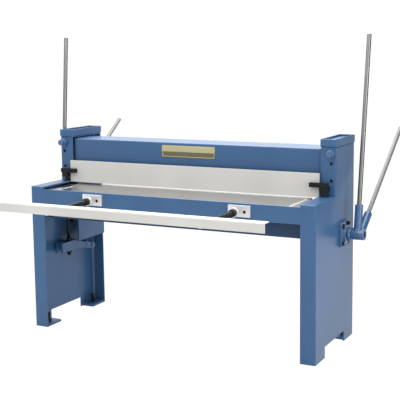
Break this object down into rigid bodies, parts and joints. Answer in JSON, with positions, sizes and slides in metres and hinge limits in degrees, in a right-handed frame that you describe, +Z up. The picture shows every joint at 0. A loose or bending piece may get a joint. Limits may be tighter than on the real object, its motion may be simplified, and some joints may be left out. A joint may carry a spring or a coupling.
{
  "type": "guillotine shear",
  "caption": "Hand-lever guillotine shear for sheet metal: blade beam between two towers, hold-down plate, steel table, front gauge bar and lever bars on a cross shaft.",
  "frame": {"origin": "on the floor, in the middle of the four anchor holes in the foot plates", "axes": "+X to the operator's right along the blades, +Y to the back, +Z up"},
  "size_m": [2.0592, 1.5862, 1.7329],
  "materials": {
    "blue_paint": "semi-gloss",
    "pale_paint": "satin",
    "block_alloy": "milled",
    "table_steel": "ground",
    "blade_steel": "ground",
    "lever_steel": "drawn",
    "machined_steel": "turned",
    "black_steel": "blackened",
    "bronze": "machined",
    "spring_steel": "oiled"
  },
  "bodies": {
    "frame": {"left_side_frame": "blue_paint", "right_side_frame": "blue_paint", "left_tower_cap": "blue_paint", "right_tower_cap": "blue_paint", "front_apron": "blue_paint", "front_tie": "blue_paint", "table_bed": "blue_paint", "bed_brackets": "blue_paint", "bed_bolts": "black_steel", "table_plate": "table_steel", "lower_blade": "blade_steel", "lower_blade_screws": "black_steel", "foot_plates": "blue_paint", "levelling_screws": "black_steel", "levelling_nuts": "black_steel", "left_bearing_housing": "blue_paint", "right_bearing_housing": "blue_paint", "bearing_bolts": "black_steel", "left_rod_block": "block_alloy", "right_rod_block": "block_alloy", "rod_block_screws": "black_steel", "front_gibs": "black_steel", "guide_rails": "machined_steel", "gib_bolts": "blue_paint", "gib_set_screws": "black_steel", "rod_bushes": "black_steel", "arm_pivots": "blue_paint"},
    "lever_shaft": {"cross_shaft": "machined_steel", "bearing_rings": "blue_paint", "left_lever_hub": "blue_paint", "right_lever_hub": "blue_paint", "left_upright_lever": "lever_steel", "right_upright_lever": "lever_steel", "left_rear_lever": "lever_steel", "right_rear_lever": "lever_steel", "left_crank": "machined_steel", "right_crank": "machined_steel", "crank_rollers": "bronze"},
    "blade_beam": {"upper_beam": "blue_paint", "beam_top": "blue_paint", "beam_stiffeners": "blue_paint", "upper_blade": "blade_steel", "upper_blade_screws": "black_steel", "left_drop_plate": "blue_paint", "right_drop_plate": "blue_paint", "guide_blocks": "machined_steel"},
    "hold_down": {"hold_down_plate": "pale_paint", "left_hold_bracket": "black_steel", "right_hold_bracket": "black_steel", "bracket_screws": "black_steel", "hold_rods": "black_steel", "hold_rod_nuts": "black_steel"},
    "left_hold_arm": {"left_hold_arm": "blue_paint", "left_spring": "spring_steel"},
    "right_hold_arm": {"right_hold_arm": "blue_paint", "right_spring": "spring_steel"},
    "gauge": {"gauge_bar": "pale_paint", "gauge_rods": "black_steel"},
    "left_lock_nut": {"left_lock_nut": "black_steel"},
    "right_lock_nut": {"right_lock_nut": "black_steel"}
  },
  "joints": [
    {"name": "lever_swing", "type": "hinge", "parent": "frame", "child": "lever_shaft", "pos_m": [0, 0.12, 0.632], "axis": [1, 0, 0], "range_deg": [0, 60], "stiffness_Nm_per_rad": 90, "springref_deg": -45.84},
    {"name": "beam_drop", "type": "slide", "parent": "frame", "child": "blade_beam", "axis": [0, 0, -1], "range_m": [0, 0.0605], "deforming": ["left_spring", "right_spring"]},
    {"name": "hold_down_drop", "type": "slide", "parent": "frame", "child": "hold_down", "axis": [0, 0, -1], "range_m": [0, 0.0081]},
    {"name": "left_arm_swing", "type": "hinge", "parent": "frame", "child": "left_hold_arm", "pos_m": [-0.844, 0.22, 0.397], "axis": [1, 0, 0], "range_deg": [0, 1.9]},
    {"name": "right_arm_swing", "type": "hinge", "parent": "frame", "child": "right_hold_arm", "pos_m": [0.844, 0.22, 0.397], "axis": [1, 0, 0], "range_deg": [0, 1.9]},
    {"name": "gauge_slide", "type": "slide", "parent": "frame", "child": "gauge", "axis": [0, 1, 0], "range_m": [-0.06, 0.14]},
    {"name": "left_lock_nut_turn", "type": "hinge", "parent": "frame", "child": "left_lock_nut", "pos_m": [-0.491, -0.344, 0.788], "axis": [0, 1, 0], "range_deg": [0, 180]},
    {"name": "right_lock_nut_turn", "type": "hinge", "parent": "frame", "child": "right_lock_nut", "pos_m": [0.439, -0.344, 0.788], "axis": [0, 1, 0], "range_deg": [0, 180]}
  ],
  "couplings": [
    {"joint": "beam_drop", "follows": "lever_swing", "m_per_rad": 0.057296},
    {"joint": "hold_down_drop", "follows": "lever_swing", "m_per_rad": 0.0076394},
    {"joint": "left_arm_swing", "follows": "lever_swing", "ratio": 0.030929},
    {"joint": "right_arm_swing", "follows": "lever_swing", "ratio": 0.030929}
  ]
}
